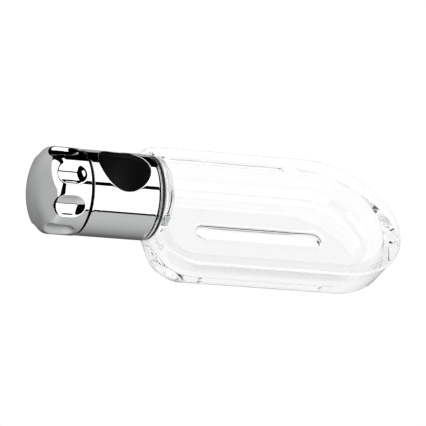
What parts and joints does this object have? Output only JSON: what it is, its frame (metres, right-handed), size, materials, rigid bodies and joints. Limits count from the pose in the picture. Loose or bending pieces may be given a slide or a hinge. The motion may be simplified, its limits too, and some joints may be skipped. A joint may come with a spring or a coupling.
{
  "type": "rail-mounted soap dish",
  "caption": "Clear D-nosed soap dish with a drain slot on a chrome slider that clamps onto a shower riser rail with a scalloped knob.",
  "frame": {"origin": "centre of the rail bore, on the slider's axis", "axes": "+X along the slider's axis from the knob to the dish, +Z along the rail bore, upwards"},
  "size_m": [0.1679, 0.067, 0.0369],
  "materials": {
    "chrome": "mirror-polished chrome plating",
    "clear_plastic": "clear, polished moulding",
    "black_plastic": "smooth black acetal",
    "white_plastic": "natural acetal",
    "rubber": "black elastomer",
    "steel": "stainless steel",
    "brass": "machined brass"
  },
  "bodies": {
    "holder": {"slider_shell": "chrome", "guide_block": "black_plastic", "trim_ring": "chrome", "dish_gasket": "rubber", "soap_dish": "clear_plastic", "dish_screw_front": "steel", "dish_screw_rear": "steel", "hub_insert_front": "steel", "hub_insert_rear": "steel", "thrust_washer": "steel", "friction_ring": "rubber", "retaining_clip": "steel"},
    "knob": {"knob_shell": "chrome", "knob_core": "white_plastic", "nut_plate": "steel", "clamp_nut": "brass", "plate_screw_1": "steel", "plate_screw_2": "steel", "plate_screw_3": "steel"},
    "clamp": {"clamp_screw": "steel", "clamp_shoe": "white_plastic", "shoe_pad": "rubber"}
  },
  "joints": [
    {"name": "knob_turn", "type": "hinge", "parent": "holder", "child": "knob", "pos_m": [-0.024, 0, 0], "axis": [1, 0, 0], "range_deg": [0, 340]},
    {"name": "clamp_slide", "type": "slide", "parent": "holder", "child": "clamp", "axis": [1, 0, 0], "range_m": [0, 0.00118]}
  ],
  "couplings": [
    {"joint": "clamp_slide", "follows": "knob_turn", "m_per_rad": 0.00019894}
  ]
}
